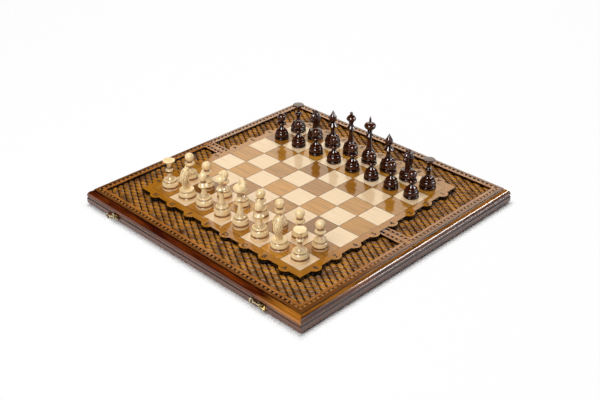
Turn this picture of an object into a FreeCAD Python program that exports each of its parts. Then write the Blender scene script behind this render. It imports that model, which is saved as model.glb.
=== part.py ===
import FreeCAD, Part
import math
import os

# A folding wooden game case, lying open with its chessboard up and its two backgammon trays face
# down on the table, with the chessmen set out. X runs along the fold, Y from the clasp side to the
# keeper side, Z up. The origin is on the table under the middle of the board.

Vector = FreeCAD.Vector
up = Vector(0, 0, 1)
along = Vector(1, 0, 0)
across = Vector(0, 1, 0)
centre = Vector(0, 0, 0)

# Driving sizes in millimetres, counts and shares

# Case and rails
case_side = 500.0
rail_width = 14.0
hinge_rail_width = 12.0
pad_thickness = 3.0
tray_depth = 15.0
rim_round = 1.5
lower_band_height = 9.3
cove_height = 3.9
cove_depth = 1.0
edge_bead_height = 2.2
moulding_step = 0.7
shoulder_drop = 2.8
seam_gap = 0.3
cut_overrun = 5.0

# Carved panel: bead frame round a sunk field for the carving
panel_inset = 9.5
panel_thickness = 3.5
carving_depth = 7.0
bead_frame_width = 14.0
seam_strip_width = 11.0
bead_channel_width = 5.0
bead_channel_depth = 1.5

# Playing field and its squares
squares_per_side = 8
square_side = 43.0
square_joint = 0.5
square_thickness = 1.6
field_thickness = 9.5
field_border = 12.0
lobe_width = 20.5
lobe_reach = 7.0

# Backgammon points let into the tray floors
points_per_row = 6
point_length = 185.0
point_gap = 2.0
point_thickness = 1.0

# Felt pads under the rims
pad_radius = 4.0
pad_corner_shift = 30.0
near_pad_from_seam = 25.0
far_pad_from_seam = 50.0
closed_clearance = 0.3

# Butt hinges
hinge_count = 3
hinge_spacing = 150.0
hinge_length = 50.0
knuckle_count = 5
knuckle_gap = 0.3
table_clearance = 0.05
pin_share = 0.5
pin_clearance = 0.05
leaf_width = 9.0

# Brass screws
screws_per_leaf = 3
screw_radius = 0.9
screw_head_radius = 1.5
screw_length = 6.0

# Swing hooks, their plates and rivets, and the keepers
left_hook_share = -0.34
right_hook_share = 0.347
hooks_on_table = ["left"]
hook_pivot_above_rim = 8.0
plate_width = 14.0
plate_height = 7.0
plate_thickness = 1.0
hook_play = 0.3
hook_thickness = 1.6
hook_eye_radius = 3.3
hook_arm_width = 2.6
hook_head_radius = 4.8
hook_tail_length = 8.5
hook_tail_radius = 1.8
hook_tail_droop_degrees = 35.0
hook_mouth_degrees = 40.0
rivet_radius = 1.1
rivet_clearance = 0.05
rivet_head_radius = 2.2
rivet_head_thickness = 1.8
keeper_radius = 2.0
keeper_head_radius = 2.8
keeper_head_thickness = 1.4
keeper_flange_radius = 3.4
keeper_flange_thickness = 0.8

# Chessmen
man_sizes = {
    "king": {"height": 87.0, "base_radius": 13.4, "flange_height": 5.6, "ring_height": 11.6},
    "queen": {"height": 80.5, "base_radius": 13.8, "flange_height": 5.6, "ring_height": 12.0},
    "bishop": {"height": 69.0, "base_radius": 14.4, "flange_height": 5.0, "ring_height": 11.2},
    "knight": {"height": 57.0, "base_radius": 14.4, "flange_height": 3.4, "ring_height": 9.6},
    "rook": {"height": 52.5, "base_radius": 14.2, "flange_height": 4.6, "ring_height": 9.6},
    "pawn": {"height": 48.7, "base_radius": 12.8, "flange_height": 3.8, "ring_height": 9.2},
}
back_row = ["rook", "knight", "bishop", "queen", "king", "bishop", "knight", "rook"]
knight_neck_width = 12.0
knight_brow_width = 9.5

# Outlines of the turned men. Each step is (radius, height), a straight run, or (radius, height,
# radius, height), an arc through the first point to the second. Radii are shares of the base
# radius. Heights are shares of the flange for the foot, of the ring for the ring, and of what
# stands above both for the rest.
foot_shares = [
    (0.95, 0.0),
    (1.0, 0.45, 0.95, 0.92),
    (0.86, 1.0),
]
ring_shares = [
    (0.975, 0.36, 0.90, 0.78),
    (0.87, 0.92, 0.80, 0.97),
    (0.66, 1.0),
]
upper_shares = {
    "king": [
        (0.79, 0.009),
        (0.74, 0.032, 0.62, 0.054),
        (0.47, 0.097, 0.38, 0.15),
        (0.29, 0.258, 0.25, 0.387),
        (0.24, 0.423),
        (0.46, 0.443),
        (0.55, 0.456),
        (0.545, 0.467),
        (0.42, 0.504, 0.29, 0.547),
        (0.27, 0.58),
        (0.345, 0.606, 0.27, 0.63),
        (0.31, 0.648),
        (0.63, 0.678, 0.77, 0.735),
        (0.58, 0.797, 0.17, 0.811),
        (0.09, 0.831),
        (0.155, 0.881, 0.11, 0.938),
        (0.0, 1.0),
    ],
    "queen": [
        (0.79, 0.01),
        (0.74, 0.032, 0.62, 0.054),
        (0.46, 0.089, 0.37, 0.14),
        (0.29, 0.254, 0.26, 0.397),
        (0.25, 0.471),
        (0.46, 0.493),
        (0.55, 0.507),
        (0.545, 0.52),
        (0.43, 0.556, 0.31, 0.601),
        (0.27, 0.644),
        (0.38, 0.715, 0.56, 0.757),
        (0.61, 0.773),
        (0.62, 0.798),
        (0.58, 0.82),
        (0.42, 0.868, 0.15, 0.906),
        (0.21, 0.954, 0.11, 0.989),
        (0.0, 1.0),
    ],
    "bishop": [
        (0.79, 0.011),
        (0.79, 0.036, 0.74, 0.057),
        (0.48, 0.102, 0.34, 0.17),
        (0.25, 0.256, 0.225, 0.341),
        (0.225, 0.383),
        (0.48, 0.405),
        (0.61, 0.42),
        (0.6, 0.438),
        (0.44, 0.5, 0.29, 0.564),
        (0.26, 0.591),
        (0.46, 0.682, 0.31, 0.839),
        (0.11, 0.947),
        (0.0, 1.0),
    ],
    "rook": [
        (0.78, 0.013),
        (0.78, 0.042, 0.73, 0.073),
        (0.48, 0.125, 0.34, 0.198),
        (0.265, 0.261, 0.25, 0.326),
        (0.24, 0.439),
        (0.34, 0.47),
        (0.44, 0.504, 0.36, 0.554),
        (0.22, 0.614),
        (0.2, 0.653),
        (0.29, 0.783, 0.52, 0.888),
        (0.6, 0.919),
        (0.68, 0.94),
        (0.71, 0.966, 0.675, 0.99),
        (0.42, 0.998, 0.14, 0.9997),
        (0.0, 1.0),
    ],
    "pawn": [
        (0.8, 0.014),
        (0.8, 0.045, 0.745, 0.084),
        (0.52, 0.151, 0.36, 0.224),
        (0.27, 0.275, 0.25, 0.322),
        (0.25, 0.353),
        (0.5, 0.389),
        (0.67, 0.468, 0.5, 0.538),
        (0.27, 0.577),
        (0.26, 0.59),
        (0.6016, 0.784, 0.12, 0.9957),
        (0.0, 1.0),
    ],
    "knight": [
        (0.82, 0.012),
        (0.84, 0.045, 0.76, 0.075),
        (0.42, 0.085),
        (0.0, 0.085),
    ],
}
# Side outline of the knight's head: forward is a share of the base radius, height a share of
# what stands above the base rings.
knight_side_shares = [
    (0.34, 0.026),
    (0.36, 0.14),
    (0.36, 0.25),
    (0.28, 0.358),
    (0.36, 0.491),
    (0.74, 0.447),
    (0.90, 0.535),
    (0.78, 0.657),
    (0.42, 0.834),
    (0.20, 0.994),
    (0.0, 0.922),
    (-0.40, 0.779),
    (-0.62, 0.513),
    (-0.52, 0.247),
    (-0.36, 0.026),
]

# Places worked out from the driving sizes
case_half = case_side / 2
rail_inner = case_half - rail_width
panel_half = case_half - panel_inset
carving_half = panel_half - bead_frame_width
seam_half = seam_gap / 2
seam_strip_edge = seam_half + seam_strip_width
tray_seam_side = seam_half + hinge_rail_width
squares_half = squares_per_side * square_side / 2
field_half = squares_half + field_border
rim_height = pad_thickness
tray_ceiling = rim_height + tray_depth
carving_floor = tray_ceiling + panel_thickness
bead_frame_top = carving_floor + carving_depth
playing_top = carving_floor + field_thickness
squares_floor = playing_top - square_thickness
shoulder_top = bead_frame_top - shoulder_drop
band_top = rim_height + lower_band_height
cove_top = band_top + cove_height
moulding_foot = cove_top + edge_bead_height
fold_axis_height = (pad_thickness - closed_clearance) / 2
knuckle_radius = fold_axis_height - table_clearance
pin_radius = knuckle_radius * pin_share
leaf_thickness = knuckle_radius - pin_radius
hook_pivot_height = rim_height + hook_pivot_above_rim
hook_reach = 2 * (hook_pivot_height - fold_axis_height)
hook_places = {"left": left_hook_share * case_side, "right": right_hook_share * case_side}
hook_inner_face = case_half + plate_thickness + hook_play
hook_outer_face = hook_inner_face + hook_thickness
clasp_face = hook_outer_face + hook_play + rivet_head_thickness


def box(low_x, high_x, low_y, high_y, low_z, high_z):
    """A block between two corners."""
    return Part.makeBox(high_x - low_x, high_y - low_y, high_z - low_z, Vector(low_x, low_y, low_z))


def outline_edges(start, steps, place):
    """Straight runs and arcs from a start point through the steps; place turns a pair into a point."""
    edges = []
    here = place(*start)
    for step in steps:
        there = place(*step[-2:])
        if len(step) == 2:
            edges.append(Part.makeLine(here, there))
        else:
            edges.append(Part.Arc(here, place(*step[:2]), there).toShape())
        here = there
    return edges


def face_of(edges):
    return Part.Face(Part.Wire(edges))


def mirrored(shape):
    """The same shape on the other side of the fold."""
    return shape.mirror(centre, across)


def write(name, shapes):
    """Writes one node; a node of several loose solids is written as a group."""
    group = shapes[0] if len(shapes) == 1 else Part.makeCompound(shapes)
    for solid in group.Solids:
        if not solid.isValid():
            raise ValueError(name + " holds a solid that isn't valid")
    group.exportStep(os.path.join("parts", name + ".step"))
    print(name, len(group.Solids), "solids", round(group.Volume), "mm3")


def rail_section(place):
    """The rail across its length: tray wall, eased rim, lower band, cove, edge bead and moulding."""
    corner_share = math.sqrt(0.5)
    rim_corner = rim_round * (1 - corner_share)
    cove_middle = band_top + cove_height / 2
    bead_middle = cove_top + edge_bead_height / 2
    moulding_outer = case_half - moulding_step
    moulding_turn = panel_half + (moulding_outer - panel_half) * corner_share
    moulding_rise = moulding_foot + (shoulder_top - moulding_foot) * corner_share
    start = (rail_inner, rim_height)
    steps = [
        (case_half - rim_round, rim_height),
        (case_half - rim_corner, rim_height + rim_corner, case_half, rim_height + rim_round),
        (case_half, band_top),
        (case_half - cove_depth, cove_middle, moulding_outer, cove_top),
        (case_half, bead_middle, moulding_outer, moulding_foot),
        (moulding_turn, moulding_rise, panel_half, shoulder_top),
        (panel_half, tray_ceiling),
        (rail_inner, tray_ceiling),
        start,
    ]
    return face_of(outline_edges(start, steps, place))


def mitre_wedge(corners):
    """A tall prism over a floor plan, to cut rails to their mitred ends."""
    plan = Part.makePolygon([Vector(x, y, -cut_overrun) for x, y in corners + corners[:1]])
    return Part.Face(plan).extrude(up * (bead_frame_top + 2 * cut_overrun))


def clasp_rail():
    reach = case_half + cut_overrun
    section = rail_section(lambda out, height: Vector(-case_half, -out, height))
    rail = section.extrude(along * case_side)
    return rail.common(mitre_wedge([(0, 0), (-reach, -reach), (reach, -reach)]))


def side_rail(side):
    reach = case_half + cut_overrun
    section = rail_section(lambda out, height: Vector(side * out, -case_half, height))
    rail = section.extrude(across * (case_half - seam_half))
    return rail.common(mitre_wedge([(0, 0), (side * reach, -reach), (side * reach, 0)]))


def hinge_rail():
    return box(-rail_inner, rail_inner, -tray_seam_side, -seam_half, rim_height, tray_ceiling)


def carved_panel():
    """The panel of one half: a bead frame on three sides, a strip each side of the board at the seam."""
    panel = box(-panel_half, panel_half, -panel_half, -seam_half, tray_ceiling, bead_frame_top)
    over = bead_frame_top + cut_overrun
    sunk = box(-carving_half, carving_half, -carving_half, -seam_strip_edge, carving_floor, over)
    under_field = box(-field_half, field_half, -carving_half, cut_overrun, carving_floor, over)
    return panel.cut(sunk).cut(under_field).cut(bead_channel())


def bead_channel():
    """The shallow groove along the middle of the frame and of the seam strips that holds the beads."""
    fillet = (bead_frame_width - bead_channel_width) / 2
    outer = panel_half - fillet
    inner = outer - bead_channel_width
    seam_side = seam_half + (seam_strip_width - bead_channel_width) / 2
    floor = bead_frame_top - bead_channel_depth
    over = bead_frame_top + cut_overrun
    channel = box(-outer, outer, -outer, -inner, floor, over)
    for side in (-1, 1):
        low_x, high_x = sorted((side * inner, side * outer))
        channel = channel.fuse(box(low_x, high_x, -outer, -seam_side, floor, over))
        low_x, high_x = sorted((side * field_half, side * outer))
        strip = box(low_x, high_x, -seam_side - bead_channel_width, -seam_side, floor, over)
        channel = channel.fuse(strip)
    return channel


def backgammon_points():
    """Two facing rows of long triangles on the tray floor, their bases along the side rails."""
    pitch = (rail_inner - tray_seam_side) / points_per_row
    points = []
    for side in (-1, 1):
        for index in range(points_per_row):
            middle = -rail_inner + pitch * (index + 0.5)
            half_base = (pitch - point_gap) / 2
            corners = [
                Vector(side * rail_inner, middle - half_base, tray_ceiling),
                Vector(side * rail_inner, middle + half_base, tray_ceiling),
                Vector(side * (rail_inner - point_length), middle, tray_ceiling),
            ]
            face = Part.Face(Part.makePolygon(corners + corners[:1]))
            points.append(face.extrude(up * point_thickness))
    return points


def square_middles(first, last):
    """Distances from the board's middle to the middles of its rows, from the first to before the last."""
    return [(index + 0.5 - squares_per_side / 2) * square_side for index in range(first, last)]


def lobe_steps(middles, at_edge):
    """Runs along one edge of the field with a round lobe at each square."""
    steps = []
    for middle in middles:
        direction = math.copysign(1, middles[-1] - middles[0])
        steps.append(at_edge(middle - direction * lobe_width / 2, 0))
        steps.append(at_edge(middle, lobe_reach) + at_edge(middle + direction * lobe_width / 2, 0))
    return steps


def playing_field():
    """The raised field of one half with its scalloped border, hollowed for the squares."""
    rows = square_middles(0, squares_per_side // 2)
    columns = square_middles(0, squares_per_side)
    start = (-field_half, -seam_half)
    steps = lobe_steps(rows[::-1], lambda run, out: (-field_half - out, run))
    steps.append((-field_half, -field_half))
    steps += lobe_steps(columns, lambda run, out: (run, -field_half - out))
    steps.append((field_half, -field_half))
    steps += lobe_steps(rows, lambda run, out: (field_half + out, run))
    steps.append((field_half, -seam_half))
    steps.append(start)
    edges = outline_edges(start, steps, lambda x, y: Vector(x, y, carving_floor))
    field = face_of(edges).extrude(up * field_thickness)
    over = playing_top + cut_overrun
    pocket = box(-squares_half, squares_half, -squares_half, cut_overrun, squares_floor, over)
    return field.cut(pocket)


def board_squares():
    """The inlaid squares of one half as two lists, light and dark."""
    light = []
    dark = []
    inlay = square_side - square_joint
    for row in range(squares_per_side // 2):
        for column in range(squares_per_side):
            low_x = column * square_side - squares_half + square_joint / 2
            low_y = row * square_side - squares_half + square_joint / 2
            square = box(low_x, low_x + inlay, low_y, low_y + inlay, squares_floor, playing_top)
            if (row + column) % 2:
                light.append(square)
            else:
                dark.append(square)
    return light, dark


def felt_pads(corner_shift, from_seam):
    """Four round pads under the rim of one half."""
    pad_line = rail_inner + (rail_width - rim_round) / 2
    pads = []
    for side in (-1, 1):
        for x, y in ((pad_line - corner_shift, -pad_line), (pad_line, -from_seam)):
            pads.append(Part.makeCylinder(pad_radius, pad_thickness, Vector(side * x, y, 0)))
    return pads


def hinge_places():
    return [(index - (hinge_count - 1) / 2) * hinge_spacing for index in range(hinge_count)]


def hinge_screws():
    """Countersunk screws up through the leaves into the hinge rail of one half."""
    screws = []
    pitch = hinge_length / screws_per_leaf
    for middle in hinge_places():
        for index in range(screws_per_leaf):
            x = middle + (index - (screws_per_leaf - 1) / 2) * pitch
            foot = Vector(x, -seam_half - leaf_width / 2, rim_height)
            head = Part.makeCone(screw_head_radius, screw_radius, leaf_thickness, foot)
            shank = Part.makeCylinder(screw_radius, screw_length, foot)
            screws.append(head.fuse(shank).removeSplitter())
    return screws


def hinge_leaf(middle, first_knuckle, bore_radius):
    """One leaf of one hinge: a plate let into the rim, rolled round the pin at every other knuckle."""
    low_x = middle - hinge_length / 2
    plate_top = rim_height + leaf_thickness
    inner_edge = leaf_thickness - knuckle_radius
    leaf = box(low_x, low_x + hinge_length, -leaf_width, inner_edge, rim_height, plate_top)
    pitch = hinge_length / knuckle_count
    for index in range(first_knuckle, knuckle_count, 2):
        start = low_x + index * pitch + knuckle_gap / 2
        length = pitch - knuckle_gap
        tab = box(start, start + length, -knuckle_radius, inner_edge, fold_axis_height, plate_top)
        roll = Part.makeCylinder(knuckle_radius, length, Vector(start, 0, fold_axis_height), along)
        leaf = leaf.fuse(tab).fuse(roll)
    bore_start = Vector(low_x - cut_overrun, 0, fold_axis_height)
    bore = Part.makeCylinder(bore_radius, hinge_length + 2 * cut_overrun, bore_start, along)
    return leaf.cut(bore).removeSplitter()


def leaf_recess(middle):
    """The shallow seat that takes a leaf, cut into the rim up to the seam."""
    low_x = middle - hinge_length / 2
    plate_top = rim_height + leaf_thickness
    return box(low_x, low_x + hinge_length, -leaf_width, cut_overrun, -cut_overrun, plate_top)


def hinge_pin(middle):
    start = Vector(middle - hinge_length / 2, 0, fold_axis_height)
    return Part.makeCylinder(pin_radius, hinge_length, start, along)


def hook_rest_drop(side):
    """How far a hook's arm hangs below level, in degrees: one lies on the table, the other is level."""
    if side not in hooks_on_table:
        return 0
    head_room = hook_pivot_height - hook_head_radius - table_clearance
    return math.degrees(math.asin(head_room / hook_reach))


def round_bar(radius, length, x, y, z):
    """A round piece standing out towards the clasp side."""
    return Part.makeCylinder(radius, length, Vector(x, y, z), -across)


def swing_hook(side):
    """A flat hook on its rivet: eye, arm, a round head with its mouth open below, and a finger tail."""
    face = -hook_inner_face
    edge = -hook_outer_face
    half_arm = hook_arm_width / 2
    mouth_half = keeper_radius + hook_play
    eye = round_bar(hook_eye_radius, hook_thickness, 0, face, 0)
    arm = box(-hook_reach, 0, edge, face, -half_arm, half_arm)
    head = round_bar(hook_head_radius, hook_thickness, -hook_reach, face, 0)
    tail = box(0, hook_tail_length, edge, face, -half_arm, half_arm)
    tail = tail.fuse(round_bar(hook_tail_radius, hook_thickness, hook_tail_length, face, 0))
    tail.rotate(centre, across, hook_tail_droop_degrees)
    hook = eye.fuse(arm).fuse(head).fuse(tail)
    deep = hook_thickness + 2 * cut_overrun
    mouth = hook_mouth(hook_reach - mouth_half, hook_reach + mouth_half, deep)
    throat = round_bar(mouth_half, deep, -hook_reach, face + cut_overrun, 0)
    rivet_hole = round_bar(rivet_radius + rivet_clearance, deep, 0, face + cut_overrun, 0)
    hook = hook.cut(mouth).cut(throat).cut(rivet_hole).removeSplitter()
    hook.rotate(centre, across, -hook_rest_drop(side))
    hook.translate(Vector(hook_places[side], 0, hook_pivot_height))
    return hook


def hook_mouth(inner_radius, outer_radius, deep):
    """The curved slot that the keeper runs along as the hook swings, open below the arm."""
    def on_circle(radius, degrees):
        turn = math.radians(degrees)
        return (-radius * math.cos(turn), -radius * math.sin(turn))

    half_way = hook_mouth_degrees / 2
    start = on_circle(inner_radius, 0)
    steps = [
        on_circle(outer_radius, 0),
        on_circle(outer_radius, half_way) + on_circle(outer_radius, hook_mouth_degrees),
        on_circle(inner_radius, hook_mouth_degrees),
        on_circle(inner_radius, half_way) + start,
    ]
    start_face = cut_overrun - hook_inner_face
    edges = outline_edges(start, steps, lambda x, z: Vector(x, start_face, z))
    return face_of(edges).extrude(across * -deep)


def hook_plate(place):
    low_x = place - plate_width / 2
    low_z = hook_pivot_height - plate_height / 2
    face = -case_half - plate_thickness
    return box(low_x, low_x + plate_width, face, -case_half, low_z, low_z + plate_height)


def hook_rivet(place):
    """The rivet that the hook swings on, set through the plate into the rail."""
    root = -case_half + screw_length
    post_length = clasp_face - case_half + screw_length
    post = round_bar(rivet_radius, post_length, place, root, hook_pivot_height)
    head_start = rivet_head_thickness - clasp_face
    head = round_bar(rivet_head_radius, rivet_head_thickness, place, head_start, hook_pivot_height)
    return post.fuse(head).removeSplitter()


def plate_screws(place):
    """Two screws that hold a hook's plate, either side of its rivet, with their heads let in flush."""
    screws = []
    for side in (-1, 1):
        x = place + side * (plate_width / 2 - screw_head_radius)
        face = Vector(x, -case_half - plate_thickness, hook_pivot_height)
        head = Part.makeCone(screw_head_radius, screw_radius, plate_thickness, face, across)
        shank = Part.makeCylinder(screw_radius, screw_length, face, across)
        screws.append(head.fuse(shank).removeSplitter())
    return screws


def keeper(place):
    """The headed stud on the far clasp rail that a hook drops over, modelled on the near side."""
    height = hook_pivot_height
    root = round_bar(keeper_radius, screw_length, place, -case_half + screw_length, height)
    flange = round_bar(keeper_flange_radius, keeper_flange_thickness, place, -case_half, height)
    neck = round_bar(keeper_radius, clasp_face - case_half, place, -case_half, height)
    head_start = keeper_head_thickness - clasp_face
    head = round_bar(keeper_head_radius, keeper_head_thickness, place, head_start, height)
    return root.fuse(flange).fuse(neck).fuse(head).removeSplitter()


def turned_man(kind):
    """A turned man on its own axis, standing on zero."""
    base_radius = man_sizes[kind]["base_radius"]
    flange_height = man_sizes[kind]["flange_height"]
    ring_height = man_sizes[kind]["ring_height"]
    base_height = flange_height + ring_height
    upper_height = man_sizes[kind]["height"] - base_height
    steps = []
    for shares, low, tall in (
        (foot_shares, 0, flange_height),
        (ring_shares, flange_height, ring_height),
        (upper_shares[kind], base_height, upper_height),
    ):
        for step in shares:
            sizes = []
            for radius_share, height_share in zip(step[::2], step[1::2]):
                sizes += [radius_share * base_radius, low + height_share * tall]
            steps.append(tuple(sizes))
    steps.append((0, 0))
    edges = outline_edges((0, 0), steps, lambda radius, height: Vector(radius, 0, height))
    return Part.Solid(face_of(edges).revolve(centre, up, 360))


def knight_head():
    """A carved horse's head that looks along +Y: its side outline narrowed towards the brow."""
    base_radius = man_sizes["knight"]["base_radius"]
    base_height = man_sizes["knight"]["flange_height"] + man_sizes["knight"]["ring_height"]
    upper_height = man_sizes["knight"]["height"] - base_height
    side = []
    for forward_share, height_share in knight_side_shares:
        side.append(Vector(0, forward_share * base_radius, base_height + height_share * upper_height))
    curve = Part.BSplineCurve()
    curve.interpolate(side, True)
    reach = knight_neck_width
    slab = Part.Face(Part.Wire([curve.toShape()])).extrude(along * (2 * reach))
    slab.translate(along * -reach)
    top = base_height + upper_height
    half_neck = knight_neck_width / 2
    half_brow = knight_brow_width / 2
    waist = base_height + upper_height / 2
    start = (-half_neck, 0)
    steps = [
        (-half_neck, base_height),
        (-half_neck, waist, -half_brow, top - half_brow),
        (0, top, half_brow, top - half_brow),
        (half_neck, waist, half_neck, base_height),
        (half_neck, 0),
        start,
    ]
    front = face_of(outline_edges(start, steps, lambda x, z: Vector(x, -2 * base_radius, z)))
    return slab.common(front.extrude(across * (4 * base_radius)))


def chessman(kind):
    man = turned_man(kind)
    if kind == "knight":
        man = man.fuse(knight_head()).removeSplitter()
    return man


def set_out_men():
    """Every man on its square, as a list of node names and solids."""
    men = []
    kinds = {kind: chessman(kind) for kind in man_sizes}
    columns = square_middles(0, squares_per_side)
    rows = square_middles(0, squares_per_side)
    for side, back, front, turn in (("white", rows[0], rows[1], 0), ("dark", rows[-1], rows[-2], 180)):
        seen = {}
        for row, line in ((back, back_row), (front, ["pawn"] * squares_per_side)):
            for x, kind in zip(columns, line):
                seen[kind] = seen.get(kind, 0) + 1
                man = kinds[kind].copy()
                man.rotate(centre, up, turn)
                man.translate(Vector(x, row, playing_top))
                single = kind in ("king", "queen")
                name = side + "_" + kind + ("" if single else "_" + str(seen[kind]))
                men.append((name, man))
    return men


def cut_by(shape, tools):
    return shape.cut(Part.makeCompound(tools))


def build_half(name, turn_over, corner_shift, from_seam, rail_tools, first_knuckle, bore_radius):
    """Writes the pieces of one half; turn_over places near-side shapes on this half."""
    screws = hinge_screws()
    seats = [leaf_recess(middle) for middle in hinge_places()]
    points = backgammon_points()
    light, dark = board_squares()
    leaves = [hinge_leaf(middle, first_knuckle, bore_radius) for middle in hinge_places()]
    if name == "far":
        light, dark = dark, light
    pieces = {
        "clasp_rail": [cut_by(clasp_rail(), rail_tools)],
        "hinge_rail": [cut_by(hinge_rail(), screws + seats)],
        "side_rails": [side_rail(-1), side_rail(1)],
        "carved_panel": [cut_by(carved_panel(), points)],
        "playing_field": [playing_field()],
        "light_squares": light,
        "dark_squares": dark,
        "backgammon_points": points,
        "felt_pads": felt_pads(corner_shift, from_seam),
        "hinge_leaves": [cut_by(leaf, screws) for leaf in leaves],
    }
    for piece, shapes in pieces.items():
        write(name + "_" + piece, [turn_over(shape) for shape in shapes])
    return screws


def build():
    os.makedirs("parts", exist_ok=True)
    plate_screw_list = []
    rivets = []
    plates = []
    keepers = []
    for side, place in hook_places.items():
        screws = plate_screws(place)
        rivet = hook_rivet(place)
        plate_screw_list += screws
        rivets.append(rivet)
        plates.append(cut_by(hook_plate(place), screws + [rivet]))
        keepers.append(keeper(place))
        write(side + "_hook", [swing_hook(side)])
    write("hook_plates", plates)
    write("hook_rivets", rivets)
    write("keepers", [mirrored(stud) for stud in keepers])
    near_tools = plate_screw_list + rivets
    near_screws = build_half(
        "near", lambda shape: shape, 0, near_pad_from_seam, near_tools, 0, pin_radius
    )
    far_screws = build_half(
        "far", mirrored, pad_corner_shift, far_pad_from_seam, keepers, 1, pin_radius + pin_clearance
    )
    write("near_screws", near_screws + plate_screw_list)
    write("far_screws", [mirrored(screw) for screw in far_screws])
    write("hinge_pins", [hinge_pin(middle) for middle in hinge_places()])
    for name, man in set_out_men():
        write(name, [man])
    for side in hook_places:
        print(side, "hook rests", round(hook_rest_drop(side), 3), "degrees below level")
    print("fold axis height", round(fold_axis_height, 3), "hook pivot height", hook_pivot_height)


build()
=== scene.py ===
# %% [markdown]
# # A carved chess and backgammon case, dressed for the studio
# The real object is a flat wooden case that lies open with its two backgammon trays face down.
# Its carved back is a chessboard, and a full set of turned men stands on it.
# The solids come from the packed frame. This lesson gives them their looks and rebuilds the pieces
# whose beauty lies in fine forms: mouldings, basket carving, beads, turned men and felt.

# %% Load the frame and keep its box
import math

import bmesh
import bpy
from mathutils import Matrix, Vector


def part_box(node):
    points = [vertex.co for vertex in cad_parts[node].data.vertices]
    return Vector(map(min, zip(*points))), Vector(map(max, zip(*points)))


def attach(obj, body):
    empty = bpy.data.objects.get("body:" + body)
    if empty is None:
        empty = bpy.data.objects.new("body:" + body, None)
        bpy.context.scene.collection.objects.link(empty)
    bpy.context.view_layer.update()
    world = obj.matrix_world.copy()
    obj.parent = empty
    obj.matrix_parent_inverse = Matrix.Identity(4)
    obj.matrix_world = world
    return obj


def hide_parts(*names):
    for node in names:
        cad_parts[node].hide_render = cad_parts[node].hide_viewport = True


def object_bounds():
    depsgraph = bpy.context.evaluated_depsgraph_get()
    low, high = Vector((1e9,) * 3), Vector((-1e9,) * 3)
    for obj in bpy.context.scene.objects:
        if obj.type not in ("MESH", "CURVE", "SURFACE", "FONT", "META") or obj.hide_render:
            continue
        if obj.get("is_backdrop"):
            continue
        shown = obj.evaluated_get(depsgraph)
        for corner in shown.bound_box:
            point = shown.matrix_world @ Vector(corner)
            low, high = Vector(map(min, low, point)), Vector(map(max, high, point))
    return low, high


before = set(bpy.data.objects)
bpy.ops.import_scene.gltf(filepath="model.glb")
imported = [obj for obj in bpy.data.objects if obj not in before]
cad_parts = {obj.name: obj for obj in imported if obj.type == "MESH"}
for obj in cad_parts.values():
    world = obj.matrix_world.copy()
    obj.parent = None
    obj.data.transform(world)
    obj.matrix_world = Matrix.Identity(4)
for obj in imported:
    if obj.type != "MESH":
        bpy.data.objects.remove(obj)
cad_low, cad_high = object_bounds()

MM = 0.001
scene = bpy.context.scene
print("frame of", len(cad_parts), "nodes, box", [round(side, 3) for side in cad_high - cad_low])

# %% [markdown]
# ## The camera
# The photograph looks down on a corner of the board from about 30 degrees above the table.
# The grid of the chessboard is a perfect ruler, so the camera was solved from its crossings:
# its place, its three axes and its lens. Written as axes, nothing has to be aimed afterwards.

# %% Set up the camera
camera_place = Vector((0.98716, -0.99940, 0.83356))
camera_right = Vector((0.71192, 0.70226, 0.00061))
camera_up = Vector((-0.35662, 0.36078, 0.86178))
camera_back = camera_right.cross(camera_up)

camera_data = bpy.data.cameras.new("photo_camera")
camera_data.sensor_width = 36.0
camera_data.lens = 58.49
camera = bpy.data.objects.new("photo_camera", camera_data)
axes = Matrix((camera_right, camera_up, camera_back)).transposed().to_4x4()
camera.matrix_world = Matrix.Translation(camera_place) @ axes
scene.collection.objects.link(camera)
scene.camera = camera
scene.view_settings.view_transform = "Standard"
print("camera stands", round(camera_place.length, 3), "m from the middle of the board")

# %% [markdown]
# ## Formulas instead of cables
# Finishes and Geometry Nodes are both trees of small nodes. Wiring them line by line hides the idea,
# so one class wraps a socket: a sum written with it adds the Math nodes by itself, and one method
# makes every other kind of node. The same class serves shaders and geometry.

# %% A socket that can be reckoned with
def operator(operation, turned=False):
    """A method that adds one Math node. In a reflected form its two values are turned round."""
    def method(self, value=0.0):
        first, second = (value, self) if turned else (self, value)
        return self.add("ShaderNodeMath", {"operation": operation}, {0: first, 1: second})
    return method


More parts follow.
